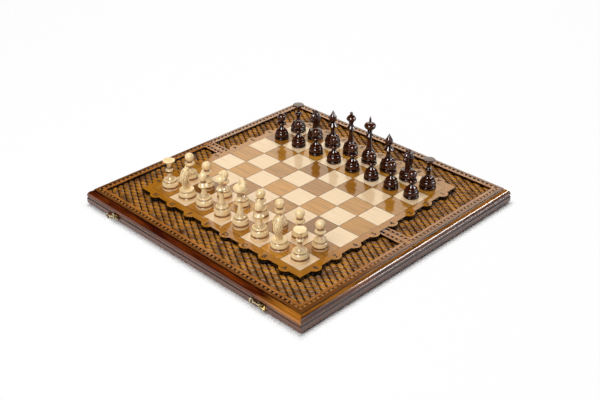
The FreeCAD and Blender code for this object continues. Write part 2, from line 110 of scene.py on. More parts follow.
class Wire:
    """One socket of a node tree. Sums with it add Math nodes to the tree."""

    __add__, __radd__ = operator("ADD"), operator("ADD", turned=True)
    __sub__, __rsub__ = operator("SUBTRACT"), operator("SUBTRACT", turned=True)
    __mul__, __rmul__ = operator("MULTIPLY"), operator("MULTIPLY", turned=True)
    __truediv__, __rtruediv__ = operator("DIVIDE"), operator("DIVIDE", turned=True)
    __mod__ = operator("FLOORED_MODULO")
    __gt__ = operator("GREATER_THAN")
    __lt__ = operator("LESS_THAN")
    __abs__ = operator("ABSOLUTE")
    floor = operator("FLOOR")
    either = operator("MAXIMUM")
    sine = operator("SINE")
    cosine = operator("COSINE")

    def __init__(self, tree, socket=None):
        self.tree = tree
        self.socket = socket

    def add(self, kind, settings=None, sockets=None, output=0):
        """Adds any node: its settings first, then the values and links of its sockets."""
        node = self.tree.nodes.new(kind)
        for name, value in (settings or {}).items():
            setattr(node, name, value)
        for name, value in (sockets or {}).items():
            if isinstance(value, Wire):
                self.tree.links.new(value.socket, node.inputs[name])
            else:
                node.inputs[name].default_value = value
        return Wire(self.tree, node.outputs[output]) if node.outputs else None

    def other(self, output):
        """Another output of the node that this socket belongs to."""
        return Wire(self.tree, self.socket.node.outputs[output])

    def rise(self, low, high):
        """0 below low, 1 above high, and an even slope between them."""
        sockets = {"Value": self, "From Min": low, "From Max": high}
        return self.add("ShaderNodeMapRange", {"clamp": True}, sockets)

    def past(self, level, start, end):
        """A rise between two distances in mm past a level."""
        return self.rise(level + start * MM, level + end * MM)


operators = [name for name, member in vars(Wire).items() if name.startswith("__") and callable(member)]
print("Wire answers to", len(operators) - 1, "operators")

# %% [markdown]
# ## The studio
# The case was photographed on white, with a wide soft window behind it. That window matters most:
# it mirrors in the varnish of everything that lies flat, which turns the brown wood tan, and where a
# man stands in its way the true brown shows as a blurred reflection. The rest of the room is dark,
# so the mouldings stay deep orange. Two tents give soft light without being mirrored. Three lamps
# do the opposite and are only mirrored: a key lamp for the sparkle of the men, and a strip and a
# screen for the white line and the grey sheen on the right-hand rail.

# %% Lamps and surroundings
def softbox(name, place, width, height, radiance, mirrored=True, lighting=True,
            target=(0, 0, 0), tint=(1, 1, 1)):
    """A flat lamp that looks at its target. Its power follows from how bright its face is."""
    lamp = bpy.data.lights.new(name, "AREA")
    lamp.shape = "RECTANGLE"
    lamp.size = width
    lamp.size_y = height
    lamp.color = tint
    lamp.energy = radiance * math.pi * width * height
    holder = bpy.data.objects.new(name, lamp)
    holder.location = place
    holder.rotation_euler = (Vector(target) - Vector(place)).to_track_quat("-Z", "Y").to_euler()
    holder.visible_camera = False
    holder.visible_glossy = mirrored
    holder.visible_diffuse = lighting
    scene.collection.objects.link(holder)
    return lamp.energy


lamp_powers = [
    softbox("back_window", (-1.05, 1.57, 0.90), 1.42, 0.90, 2.1, tint=(1.0, 0.95, 0.82)),
    softbox("overhead_tent", (-0.25, 0.20, 1.55), 1.2, 1.2, 3.3, mirrored=False),
    softbox("front_tent", (0.35, -1.30, 1.15), 1.1, 1.1, 4.0, mirrored=False),
    softbox("key_lamp", (0.45, -1.20, 1.30), 0.80, 0.80, 24.0, lighting=False),
    softbox("right_strip", (0.95, 1.15, 0.75), 0.95, 0.32, 22.0, lighting=False, target=(0, 1.15, 0)),
    softbox("right_screen", (1.25, 0.55, 0.62), 1.1, 0.9, 1.6, lighting=False),
]

world = bpy.data.worlds.new("white_studio")
scene.world = world
world.use_nodes = True
world.node_tree.nodes.clear()
sky = Wire(world.node_tree)
seen = sky.add("ShaderNodeLightPath", output="Is Camera Ray")
mirrored = seen.other("Is Glossy Ray") + seen.other("Is Transmission Ray")
direction = sky.add("ShaderNodeTexCoord", output="Generated")
ray_up = sky.add("ShaderNodeSeparateXYZ", {}, {"Vector": direction}, "Z")
fill_level = 0.14
white_level = 1.0
floor_level = 1.4
room_level = 0.03
horizon_blur = 0.08
mirrored_level = floor_level - ray_up.rise(0.0, horizon_blur) * (floor_level - room_level)
strength = fill_level + seen * (white_level - fill_level) + mirrored * (mirrored_level - fill_level)
backdrop = sky.add("ShaderNodeBackground", {}, {"Color": (1, 1, 1, 1), "Strength": strength})
sky.add("ShaderNodeOutputWorld", {}, {"Surface": backdrop})
print("lamps of", [round(power, 1) for power in lamp_powers], "W in a white room")

# %% The floor
def new_finish(name):
    """An empty material and a Wire to write it with."""
    material = bpy.data.materials.new(name)
    material.use_nodes = True
    material.node_tree.nodes.clear()
    return material, Wire(material.node_tree)


floor_half = 4.0
floor_white = 0.97
shadow_start = 0.251
shadow_end = 0.260
clear_share = 0.95
floor_mesh = bpy.data.meshes.new("studio_floor")
corners = [(x * floor_half, y * floor_half, 0) for x, y in ((-1, -1), (1, -1), (1, 1), (-1, 1))]
floor_mesh.from_pydata(corners, [], [(0, 1, 2, 3)])
floor = bpy.data.objects.new("studio_floor", floor_mesh)
scene.collection.objects.link(floor)

floor_finish, paint = new_finish("white_floor")
ray = paint.add("ShaderNodeLightPath", output="Is Camera Ray")
looked_at = ray + ray.other("Is Glossy Ray") + ray.other("Is Transmission Ray")
spot = paint.add("ShaderNodeTexCoord", output="Object")
across = paint.add("ShaderNodeSeparateXYZ", {}, {"Vector": spot}, "X")
from_case = abs(across).either(abs(across.other("Y"))).rise(shadow_start, shadow_end)
matt = paint.add("ShaderNodeBsdfDiffuse", {}, {"Color": (floor_white, floor_white, floor_white, 1)})
clear = paint.add("ShaderNodeBsdfTransparent")
both = paint.add("ShaderNodeMixShader", {}, {0: looked_at * from_case * clear_share, 1: matt, 2: clear})
paint.add("ShaderNodeOutputMaterial", {}, {"Surface": both})
floor_mesh.materials.append(floor_finish)
floor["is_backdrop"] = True
print("floor is", 2 * floor_half, "m wide and keeps the shadow round the case")

# %% [markdown]
# ## Wood and varnish
# All the wood of the case has one build-up: stain, fibres, and a thick glossy varnish. The varnish is
# the shader's coat, which mirrors the lamps. The fibres are noise that is drawn out along the grain.
# Colours are written as they would look on a screen, and blend turns them into light values.

# %% Helpers for finishes
def colour(red, green, blue):
    """A screen colour, 0 to 255, as the light values that shaders work in."""
    def light(part):
        share = part / 255
        return share / 12.92 if share <= 0.04045 else ((share + 0.055) / 1.055) ** 2.4
    return light(red), light(green), light(blue), 1.0


def blend(share, first, second):
    """From the first colour to the second as the share goes from 0 to 1."""
    ends = [end if isinstance(end, Wire) else colour(*end) for end in (first, second)]
    return share.add("ShaderNodeMix", {"data_type": "RGBA"}, {0: share, 6: ends[0], 7: ends[1]}, 2)


def place_of(paint):
    """The shaded point in the frame's metres, as its X, with Y and Z as other outputs."""
    point = paint.add("ShaderNodeTexCoord", output="Object")
    return paint.add("ShaderNodeSeparateXYZ", {}, {"Vector": point}, "X")


def fibres(paint, along, thickness, length, shift=None):
    """Noise drawn out along one axis: thickness and length of a fibre in mm."""
    point = paint.add("ShaderNodeTexCoord", output="Object")
    if shift is not None:
        point = paint.add("ShaderNodeVectorMath", {"operation": "ADD"}, {0: point, 1: shift})
    scale = [1 / (thickness * MM)] * 3
    scale[along] = 1 / (length * MM)
    drawn = paint.add("ShaderNodeMapping", {}, {"Vector": point, "Scale": scale})
    return paint.add("ShaderNodeTexNoise", {}, {"Vector": drawn, "Scale": 1.0, "Detail": 3.0}, "Fac")


def mottle(paint, size, detail=2.0):
    """Soft patches of about the given size in mm."""
    point = paint.add("ShaderNodeTexCoord", output="Object")
    sockets = {"Vector": point, "Scale": 1 / (size * MM), "Detail": detail}
    return paint.add("ShaderNodeTexNoise", {}, sockets, "Fac")


def close_finish(paint, sockets, relief=None, depth=0.0):
    """Adds the surface shader, with a relief in mm where one is given, and the output."""
    if relief is not None:
        bump = {"Height": relief, "Distance": depth * MM}
        sockets["Normal"] = paint.add("ShaderNodeBump", {}, bump, "Normal")
    surface = paint.add("ShaderNodeBsdfPrincipled", {}, sockets, "BSDF")
    paint.add("ShaderNodeOutputMaterial", {}, {"Surface": surface})


varnish = {"Coat Weight": 1.0, "Coat Roughness": 0.10, "Coat IOR": 1.5, "Specular IOR Level": 0.0}


def varnished(stain, line, spread=0.1):
    """Sockets of varnished wood, a little rougher along the lines of its grain."""
    return {**varnish, "Base Color": stain, "Roughness": 0.35 + line * spread}


print("varnish:", varnish)

# %% [markdown]
# ## The mouldings round the case
# Each half has a long rail and two short ones, with a plain lower band, a hollow, a small bead
# and a quarter-round that rises to the carved panel. The section is drawn once with true arcs and
# swept from mitre to mitre, so its curves stay smooth where the solids have flats of triangles.
# The hollow is darkened with painted shade and the small bead is lightened with a painted highlight.
# The right end of the long rails is painted gold as a highlight, the shoulders of the short ones are
# gold in patches, and a dark line of painted shade runs along the seam of the two halves.

# %% Draw the section of a rail
def arc_points(start, middle, end, count):
    """Points on the arc through three points of a plane, without its start."""
    (ax, ay), (bx, by), (cx, cy) = start, middle, end
    turn = 2 * (ax * (by - cy) + bx * (cy - ay) + cx * (ay - by))
    a2, b2, c2 = ax * ax + ay * ay, bx * bx + by * by, cx * cx + cy * cy
    ox = (a2 * (by - cy) + b2 * (cy - ay) + c2 * (ay - by)) / turn
    oy = (a2 * (cx - bx) + b2 * (ax - cx) + c2 * (bx - ax)) / turn
    radius = math.hypot(ax - ox, ay - oy)
    first = math.atan2(ay - oy, ax - ox)
    through = (math.atan2(by - oy, bx - ox) - first) % math.tau
    sweep = (math.atan2(cy - oy, cx - ox) - first) % math.tau
    if through > sweep:
        sweep -= math.tau
    angles = [first + sweep * step / count for step in range(1, count + 1)]
    return [(ox + radius * math.cos(angle), oy + radius * math.sin(angle)) for angle in angles]


def outline(start, steps, count=8):
    """A line through steps: a pair is a straight run, four numbers are an arc and its end."""
    points = [start]
    for step in steps:
        if len(step) == 2:
            points.append(step)
        else:
            points += arc_points(points[-1], step[:2], step[2:], count)
    return points


rail_steps = [
    (248.5, 3.0), (249.56, 3.44, 250.0, 4.5), (250.0, 12.3), (249.0, 14.25, 249.3, 16.2),
    (250.0, 17.3, 249.3, 18.4), (246.72, 23.56, 240.5, 25.7), (240.5, 18.0), (236.0, 18.0),
]
rail_section = outline((236.0, 3.0), rail_steps)
print("rail section has", len(rail_section), "points")

# %% Finish of the rails
rail_band_top = 12.3 * MM
rail_cove_top = 16.2 * MM
rail_bead_top = 18.4 * MM
end_highlight_start = 160.0 * MM
end_highlight_full = 205.0 * MM
end_highlight_wander = 90.0 * MM
shoulder_start = 21.2 * MM
shoulder_full = 23.2 * MM
seam_dark = 0.5 * MM
seam_end = 1.2 * MM


def rail_finish(name, along, end_highlight=0.0, shoulder_gold=0.0):
    """Stain by height with painted shade in the hollow and a painted highlight on the bead, fibres along an
    axis, and a painted highlight at the right end and gold on the shoulders as shares.
    """
    material, paint = new_finish(name)
    height = place_of(paint).other("Z")
    line = fibres(paint, along, 1.6, 70.0)
    patch = fibres(paint, along, 7.0, 60.0)
    stain = blend(patch.rise(0.38, 0.66), (60, 14, 1), (118, 50, 6))
    # Painted highlight: towards the right end the long rails turn gold, with a wandering edge.
    lit_end = (place_of(paint) + (patch - 0.5) * end_highlight_wander).rise(end_highlight_start, end_highlight_full)
    stain = blend(lit_end * end_highlight, stain, (186, 116, 36))
    # The top of the quarter-round turns gold in patches, by the share given.
    shoulder = height.rise(shoulder_start, shoulder_full) * shoulder_gold
    stain = blend(shoulder * patch.rise(0.30, 0.55), stain, (176, 112, 36))
    # Painted shade: near black along the seam between the two halves.
    seam_shade = 1.0 - abs(place_of(paint).other("Y")).rise(seam_dark, seam_end)
    stain = blend(seam_shade, stain, (18, 7, 2))
    stain = blend(line.rise(0.40, 0.75) * 0.5, stain, (40, 12, 3))
    band = blend(line.rise(0.40, 0.70), (86, 40, 10), (106, 54, 16))
    stain = blend(1.0 - height.past(rail_band_top, -0.3, 0.0), stain, band)
    # Painted shade: the hollow between the lower band and the bead is darkened.
    hollow = height.past(rail_band_top, -0.3, 0.4)
    hollow = hollow * (1.0 - height.past(rail_cove_top, -0.6, 0.0))
    stain = blend(hollow * 0.85, stain, (44, 16, 4))
    # Painted highlight: the small bead above the hollow is lightened.
    bead = height.past(rail_cove_top, 0.0, 0.3)
    bead = bead * (1.0 - height.past(rail_bead_top, -0.4, 0.0))
    stain = blend(bead * 0.6, stain, (150, 88, 30))
    sockets = {**varnish, "Base Color": stain, "Roughness": 0.32 + patch * 0.2}
    close_finish(paint, sockets, line, 0.05)
    return material


long_rail_finish = rail_finish("long_rail_stain_and_painted_light", 0, end_highlight=1.0)
short_rail_finish = rail_finish("short_rail_stain_and_painted_light", 1, shoulder_gold=0.9)
print("rail finishes:", long_rail_finish.name, short_rail_finish.name)

# %% Sweep the rails from mitre to mitre
def show(name, mesh, body, finish, stands_for=()):
    """Puts a finished mesh into the scene, riding on a body of the frame."""
    mesh.materials.clear()
    mesh.materials.append(finish)
    piece = bpy.data.objects.new(name, mesh)
    scene.collection.objects.link(piece)
    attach(piece, body)
    if stands_for:
        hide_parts(*stands_for)


def smooth(mesh, angle=38.0):
    """Smooth shading with crisp edges where faces meet at more than the angle."""
    mesh.polygons.foreach_set("use_smooth", [True] * len(mesh.polygons))
    mesh.set_sharp_from_angle(angle=math.radians(angle))
    return mesh


def mesh_of(build, name):
    """The mesh of a finished build, which is then let go."""
    mesh = bpy.data.meshes.new(name)
    build.to_mesh(mesh)
    build.free()
    return mesh


def sweep(runs):
    """One mesh of runs, each a pair of functions that place a section point at its two ends."""
    build = bmesh.new()
    for first_end, last_end in runs:
        first = [build.verts.new(Vector(first_end(out, up)) * MM) for out, up in rail_section]
        last = [build.verts.new(Vector(last_end(out, up)) * MM) for out, up in rail_section]
        for here in range(len(first)):
            after = (here + 1) % len(first)
            build.faces.new((first[here], last[here], last[after], first[after]))
        build.faces.new(first)
        build.faces.new(last)
    bmesh.ops.recalc_face_normals(build, faces=build.faces)
    return smooth(mesh_of(build, "rails"))


seam_half_gap = 0.15
halves = {"near": -1, "far": 1}
for half, way in halves.items():
    long_run = [(lambda out, up: (-out, way * out, up), lambda out, up: (out, way * out, up))]
    short_runs = [
        (lambda out, up, side=side: (side * out, way * out, up),
         lambda out, up, side=side: (side * out, way * seam_half_gap, up))
        for side in (-1, 1)
    ]
    rails = {"clasp_rail": (long_run, long_rail_finish), "side_rails": (short_runs, short_rail_finish)}
    for part, (runs, finish) in rails.items():
        node = half + "_" + part
        show(half + "_moulded_" + part, sweep(runs), half + "_half", finish, [node])
print("rails swept for", list(halves))

# %% [markdown]
# ## The carved panel
# The panel keeps its solid shape: a beaded frame, seam strips and a sunk field. Its finish goes by
# height: painted shade makes the ground of the carving near black and the bead channel dark, and the
# raised fillets are worn to orange-brown. The channel of the right-hand strip is painted lighter, as a
# painted sheen. On its lower side the panel is the floor of a backgammon tray.

# %% Finish of the panel
channel_edge = 236.0
carving_floor = 21.5 * MM
bead_floor = 27.0 * MM
bead_frame_top = 28.5 * MM
tray_ceiling = 18.0 * MM
side_strip_start = 210.0 * MM
side_strip_full = 216.0 * MM


def dress(node, finish):
    """Gives a node of the frame a finish and leaves its mesh alone."""
    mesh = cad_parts[node].data
    mesh.materials.clear()
    mesh.materials.append(finish)


panel_finish, paint = new_finish("carved_panel_stain_and_painted_light")
height = place_of(paint).other("Z")
line = fibres(paint, 0, 1.1, 40.0)
worn = blend(line.rise(0.35, 0.70), (160, 98, 38), (190, 124, 58))
worn = blend(mottle(paint, 18.0).rise(0.45, 0.75) * 0.5, worn, (104, 54, 14))
# Painted shade: the ground of the carving is near black.
ground = blend(line.rise(0.4, 0.7), (8, 4, 2), (18, 9, 4))
# The bead channel is dark with painted shade, and on the right-hand strip it is painted lighter as a painted
# sheen.
side_strip = place_of(paint).rise(side_strip_start, side_strip_full)
channel_shade_and_sheen = blend(side_strip, (48, 22, 7), (128, 82, 30))
ground = blend(height.past(bead_floor, -0.6, -0.2), ground, channel_shade_and_sheen)
raised = height.past(bead_frame_top, -0.5, -0.1)
x = place_of(paint)
outer = abs(x).either(abs(x.other("Y"))) > channel_edge * MM
worn = blend(outer * 0.65, worn, (72, 34, 8))
stain = blend(raised, ground, worn)
tray = blend(line.rise(0.35, 0.7), (150, 96, 50), (184, 128, 74))
stain = blend(height.past(tray_ceiling, 0.2, 0.6), tray, stain)
close_finish(paint, varnished(stain, line, 0.15), line, 0.05)
for half in halves:
    dress(half + "_carved_panel", panel_finish)
print("panel finish by height, ground at", carving_floor, "and fillets at", bead_frame_top)

# %% [markdown]
# ## The basket carving
# The ground is carved like a woven basket: diamond cells in which a strand that runs one way passes
# over, and in the next cell under, the strand that runs the other way. Two small pillows, one for
# each strand, are repeated over the ground by Geometry Nodes. The rule is short: every second place
# of a grid carries a cell, even columns one strand and odd columns the other.

# %% One pillow of each strand
carving_half = 226.5
carving_first_row = 11.15
cell_columns = 47
cell_rows = 39
cell_step_x = 2 * carving_half / (cell_columns - 1)
cell_step_y = (carving_half - carving_first_row) / (cell_rows - 1)
cell_share = 0.955
pillow_rise = 2.6
pillow_stations = (-1.0, -0.93, -0.55, 0.0, 0.55, 0.93, 1.0)
skirt = 0.3


def block(name, rows):
    """A carved block, closed below, from a square grid of places in mm. An object to be repeated."""
    build = bmesh.new()
    grid = [[build.verts.new([part * MM for part in place]) for place in row] for row in rows]
    last = len(grid) - 1
    for i in range(last):
        for j in range(last):
            build.faces.new((grid[i][j], grid[i + 1][j], grid[i + 1][j + 1], grid[i][j + 1]))
    rim = [grid[i][0] for i in range(last)] + [grid[last][j] for j in range(last)]
    rim += [grid[i][last] for i in range(last, 0, -1)] + [grid[0][j] for j in range(last, 0, -1)]
    build.faces.new(rim)
    bmesh.ops.recalc_face_normals(build, faces=build.faces)
    piece = bpy.data.objects.new(name, mesh_of(build, name))
    scene.collection.objects.link(piece)
    return piece


def pillow_place(s, t, lengthways):
    """A point of a carved cell, which arches along its first diagonal if lengthways, else its second."""
    along, over = (s, t) if lengthways else (t, s)
    arch = 0.55 + 0.45 * math.cos(along * math.pi / 2)
    shoulder = (1 - abs(over) ** 4) ** 0.5
    rim = max(abs(s), abs(t)) >= 1.0
    z = -skirt if rim else pillow_rise * arch * (0.35 + 0.65 * shoulder)
    return (s + t) / 2 * cell_step_x * cell_share, (s - t) / 2 * cell_step_y * cell_share, z


strand_cells = []
for name, lengthways in (("strand_cell_over", True), ("strand_cell_under", False)):
    rows = [[pillow_place(s, t, lengthways) for t in pillow_stations] for s in pillow_stations]
    strand_cells.append(block(name, rows))
print("a cell is", round(2 * cell_step_x, 1), "by", round(2 * cell_step_y, 1), "mm")

# %% Helpers for Geometry Nodes
def new_tree(name, inputs):
    """An empty Geometry Nodes tree with named inputs. Returns the tree and a Wire for each input."""
    tree = bpy.data.node_groups.new(name, "GeometryNodeTree")
    tree.interface.new_socket(name="Geometry", in_out="INPUT", socket_type="NodeSocketGeometry")
    for label, kind in inputs.items():
        tree.interface.new_socket(name=label, in_out="INPUT", socket_type="NodeSocket" + kind)
    tree.interface.new_socket(name="Geometry", in_out="OUTPUT", socket_type="NodeSocketGeometry")
    entry = tree.nodes.new("NodeGroupInput")
    return tree, {socket.name: Wire(tree, socket) for socket in entry.outputs if socket.name}


def close_tree(geometry, finish):
    """Ends a tree: real geometry instead of instances, then the finish."""
    real = geometry.add("GeometryNodeRealizeInstances", {}, {"Geometry": geometry})
    done = real.add("GeometryNodeSetMaterial", {}, {"Geometry": real, "Material": finish})
    done.add("NodeGroupOutput", {}, {"Geometry": done})


def grow(name, start, tree, values):
    """Runs a tree on a start mesh and returns the plain mesh that it gives."""
    carrier = bpy.data.objects.new(name + "_start", start)
    scene.collection.objects.link(carrier)
    modifier = carrier.modifiers.new("nodes", "NODES")
    modifier.node_group = tree
    for item in tree.interface.items_tree:
        if item.in_out == "INPUT" and item.name in values:
            modifier[item.identifier] = values[item.name]
    graph = bpy.context.evaluated_depsgraph_get()
    mesh = bpy.data.meshes.new_from_object(carrier.evaluated_get(graph))
    carrier.modifiers.clear()
    bpy.data.objects.remove(carrier)
    mesh.name = name
    return mesh


print("helpers ready: new_tree, close_tree, grow")

# %% The tree that weaves the carving
def vector_of(wire, x, y, z):
    return wire.add("ShaderNodeCombineXYZ", {}, {"X": x, "Y": y, "Z": z})


def store(geometry, name, value):
    """The geometry with a number stored on each of its points."""
    settings = {"data_type": "FLOAT", "domain": "POINT"}
    sockets = {"Geometry": geometry, "Name": name, "Value": value}
    return geometry.add("GeometryNodeStoreNamedAttribute", settings, sockets)


def stored(wire, name):
    """The number that was stored on each point."""
    return wire.add("GeometryNodeInputNamedAttribute", {"data_type": "FLOAT"}, {"Name": name}, "Attribute")


def luck_between(wire, low, high, seed):
    """A random number for each point."""
    return wire.add("FunctionNodeRandomValue", {"data_type": "FLOAT"}, {2: low, 3: high, "Seed": seed}, 1)


weave_tree, given = new_tree("basket_carving", {
    "Columns": "Int", "Rows": "Int", "Step X": "Float", "Step Y": "Float", "Way": "Float",
    "First Row": "Float", "Ground": "Float", "Field Half": "Float", "Seed": "Int",
    "Over": "Object", "Under": "Object", "Finish": "Material",
})
wire = given["Step X"]
grid = wire.add("GeometryNodeMeshGrid", {}, {"Vertices X": given["Columns"], "Vertices Y": given["Rows"]})
index = wire.add("GeometryNodeInputIndex")
column = (index / given["Rows"]).floor()
row = index - column * given["Rows"]
column = column - ((given["Columns"] - 1.0) / 2.0)
x = column * given["Step X"]
y = given["First Row"] + row * given["Step Y"]
empty_place = (column + row) % 2.0 > 0.5
under_field = (abs(x) < given["Field Half"] - given["Step X"]) * (y < given["Field Half"] - given["Step Y"])
place = vector_of(x, x, y * given["Way"], given["Ground"])
spots = grid.add("GeometryNodeSetPosition", {}, {"Geometry": grid, "Position": place})
odd = store(spots, "odd_column", column % 2.0)
unwanted = empty_place.either(under_field)
kept = odd.add("GeometryNodeDeleteGeometry", {"domain": "POINT"}, {"Geometry": odd, "Selection": unwanted})
parity = stored(kept, "odd_column")
uneven = luck_between(kept, 0.86, 1.06, given["Seed"])
turned = luck_between(kept, -0.05, 0.05, given["Seed"])
strands = []
for label, chosen in (("Under", parity > 0.5), ("Over", parity < 0.5)):
    shape = kept.add("GeometryNodeObjectInfo", {}, {"Object": given[label]}, "Geometry")
    strands.append(kept.add("GeometryNodeInstanceOnPoints", {}, {
        "Points": kept, "Selection": chosen, "Instance": shape,
        "Rotation": vector_of(kept, 0.0, 0.0, turned), "Scale": vector_of(kept, 1.0, 1.0, uneven),
    }))
joined = kept.add("GeometryNodeJoinGeometry")
for strand in strands:
    weave_tree.links.new(strand.socket, joined.socket.node.inputs[0])
close_tree(joined, given["Finish"])
print("basket_carving has", len(weave_tree.nodes), "nodes")

# %% Weave both halves
weave_finish, paint = new_finish("basket_carving_stain_and_shade")
height = place_of(paint).other("Z")
line = fibres(paint, 0, 0.9, 14.0)
patch = mottle(paint, 26.0)
crest = blend(patch.rise(0.38, 0.70), (200, 132, 38), (90, 50, 12))
crest = blend(line.rise(0.42, 0.72) * 0.5, crest, (84, 42, 12))
# Painted light and shade by height: the crests keep the light tone, the flanks are darker and the ground
# between the cells is near black.
shaded_flank = blend(line.rise(0.35, 0.7), (38, 18, 6), (84, 44, 12))
stain = blend(height.past(carving_floor, 1.0, 2.1), shaded_flank, crest)
stain = blend(height.past(carving_floor, 0.2, 1.1), (8, 4, 2), stain)
thin_coat = {**varnish, "Coat Weight": 0.5, "Coat Roughness": 0.32}
close_finish(paint, {**thin_coat, "Base Color": stain, "Roughness": 0.4 + line * 0.2}, line, 0.12)

field_half = 184.0
for half, way in halves.items():
    mesh = grow(half + "_basket_carving", bpy.data.meshes.new("start"), weave_tree, {
        "Columns": cell_columns, "Rows": cell_rows, "Step X": cell_step_x * MM, "Step Y": cell_step_y * MM,
        "Way": float(way), "First Row": carving_first_row * MM, "Ground": carving_floor,
        "Field Half": field_half * MM, "Seed": 3,
        "Over": strand_cells[0], "Under": strand_cells[1], "Finish": weave_finish,
    })
    show(half + "_basket_carving", smooth(mesh, 75.0), half + "_half", weave_finish)
    print(half, "basket carving:", len(mesh.polygons), "faces")
for cell in strand_cells:
    bpy.data.objects.remove(cell)

# %% [markdown]
# ## The bead rows
# In the channel of the frame and of the seam strips stands a row of small square-cut beads. Lines are
# drawn where the channels run, and Geometry Nodes set beads along them at an even pitch, turned to
# follow the line. Their rounded tops catch the lamps as the small glints in the photograph do.

# %% One bead and its tree
bead_side = 5.2
bead_width_share = 0.47
bead_rise = 1.5
bead_crown_share = 0.18
bead_stations = (-1.0, -0.72, 0.0, 0.72, 1.0)


def bead_place(s, t):
    """A point of a square-cut bead with a rounded top."""
    edge = max(abs(s), abs(t)) >= 1.0
    lift = -skirt if edge else bead_rise * (1 - bead_crown_share * (s * s + t * t))
    return s * bead_side / 2, t * bead_side * bead_width_share, lift


bead_tree, given = new_tree("bead_row", {"Pitch": "Float", "Bead": "Object", "Finish": "Material"})
wire = given["Geometry"]
path = wire.add("GeometryNodeMeshToCurve", {}, {"Mesh": wire})
even = wire.add("GeometryNodeResampleCurve", {"mode": "LENGTH"}, {"Curve": path, "Length": given["Pitch"]})
heading = wire.add("GeometryNodeInputTangent")
facing = wire.add("FunctionNodeAlignRotationToVector", {"axis": "X"}, {"Vector": heading})
shape = wire.add("GeometryNodeObjectInfo", {}, {"Object": given["Bead"]}, "Geometry")
beads = wire.add("GeometryNodeInstanceOnPoints", {}, {"Points": even, "Instance": shape, "Rotation": facing})
close_tree(beads, given["Finish"])
print("bead_row has", len(bead_tree.nodes), "nodes")

# %% Set the beads
bead_finish, paint = new_finish("bead_stain_and_shade")
height = place_of(paint).other("Z")
line = fibres(paint, 0, 1.0, 20.0)
top = blend(line.rise(0.35, 0.7), (146, 90, 38), (178, 122, 64))
# Painted shade: each bead is dark at its foot, where it meets the channel.
stain = blend(height.past(bead_floor, 0.2, 1.1), (30, 14, 5), top)
close_finish(paint, varnished(stain, line), line, 0.05)

bead_pitch = 8.6
channel = 233.5
seam_channel = 5.65
strip = channel - 6.0
strip_end = field_half + 9.0
one_bead = block("square_cut_bead", [[bead_place(s, t) for t in bead_stations] for s in bead_stations])
for half, way in halves.items():
    runs = [
        ((-channel, channel), (channel, channel)),
        ((-channel, channel - bead_pitch), (-channel, seam_channel)),
        ((channel, channel - bead_pitch), (channel, seam_channel)),
        ((-strip, seam_channel), (-strip_end, seam_channel)),
        ((strip, seam_channel), (strip_end, seam_channel)),
    ]
    ends = [Vector((x, y * way, 0)) * MM + Vector((0, 0, bead_floor)) for run in runs for x, y in run]
    start = bpy.data.meshes.new("bead_lines")
    start.from_pydata(ends, [(place, place + 1) for place in range(0, len(ends), 2)], [])
    values = {"Pitch": bead_pitch * MM, "Bead": one_bead, "Finish": bead_finish}
    mesh = grow(half + "_bead_rows", start, bead_tree, values)
    show(half + "_bead_rows", smooth(mesh, 60.0), half + "_half", bead_finish)
    print(half, "bead rows:", len(mesh.polygons), "faces")
bpy.data.objects.remove(one_bead)

# %% [markdown]
# ## The chessboard
# The raised field and its inlaid squares keep their solids, because flat veneer needs no more shape.
# Each square is its own leaf of veneer, so its tone and its fibres differ from its neighbours':
# a random number drawn from the square's place on the grid shifts both. Round its edge the veneer
# is dark where glue and stain have gathered in the joint.

# %% Finishes of the field and its squares
square_side = 43.0
squares_half = 4 * square_side
board_top = 31.0 * MM
joint_width = 0.8
joint_start = 0.5 - joint_width / square_side
joint_full = 0.5 - 0.5 * joint_width / square_side


def veneer_finish(name, pale, deep, line_colour, line_share, relief):
    """Leaves of veneer between two tones, with dark lines of grain and dark joints."""
    material, paint = new_finish(name)
    x = place_of(paint)
    column = x / (square_side * MM)
    row = x.other("Y") / (square_side * MM)
    leaf_x = column.floor()
    leaf_y = row.floor()
    leaf = vector_of(paint, leaf_x, leaf_y, 0.0)
    luck = paint.add("ShaderNodeTexWhiteNoise", {"noise_dimensions": "3D"}, {"Vector": leaf}, "Value")
    shift = paint.add("ShaderNodeVectorMath", {"operation": "SCALE"}, {0: leaf, "Scale": 0.31})
    line = fibres(paint, 0, 1.2, 60.0, shift)
    broad = fibres(paint, 0, 5.0, 120.0, shift)
    stain = blend(luck * 0.7 + broad * 0.3, pale, deep)
    stain = blend(line.rise(0.50, 0.70) * line_share, stain, line_colour)
    from_middle = abs(column - leaf_x - 0.5).either(abs(row - leaf_y - 0.5))
    stain = blend(from_middle.rise(joint_start, joint_full) * 0.8, stain, (70, 34, 10))
    close_finish(paint, {**varnished(stain, line), "Coat Roughness": 0.09}, line, relief)
    return material


light_tones = (240, 212, 174), (232, 200, 158), (206, 162, 108)
dark_tones = (210, 146, 50), (118, 68, 18), (84, 40, 6)
light_finish = veneer_finish("light_veneer", *light_tones, line_share=0.50, relief=0.01)
dark_finish = veneer_finish("dark_veneer", *dark_tones, line_share=0.75, relief=0.02)

field_finish, paint = new_finish("field_border_stain_and_shade")
height = place_of(paint).other("Z")
line = fibres(paint, 0, 1.2, 60.0)
top = blend(line.rise(0.3, 0.72), (180, 118, 26), (152, 94, 16))
x = place_of(paint)
between = abs(x).either(abs(x.other("Y"))) < squares_half * MM
top = blend(between, top, (46, 22, 6))
# Below its top the field is near black: painted shadow on its walls, and dark joints between the squares.
stain = blend(height.past(board_top, -0.5, -0.1), (8, 4, 2), top)
close_finish(paint, varnished(stain, line), line, 0.02)

for half in halves:
    dress(half + "_light_squares", light_finish)
    dress(half + "_dark_squares", dark_finish)
    dress(half + "_playing_field", field_finish)
print("board dressed with", light_finish.name, dark_finish.name, field_finish.name)

# %% [markdown]
# ## The coordinates
# A letter or a number is burnt into each lobe of the border. They are the plain coordinates of any
# chessboard. Text is made flat, turned to be read from its own side of the board, and joined
# into one mesh for each half so that it folds with it.

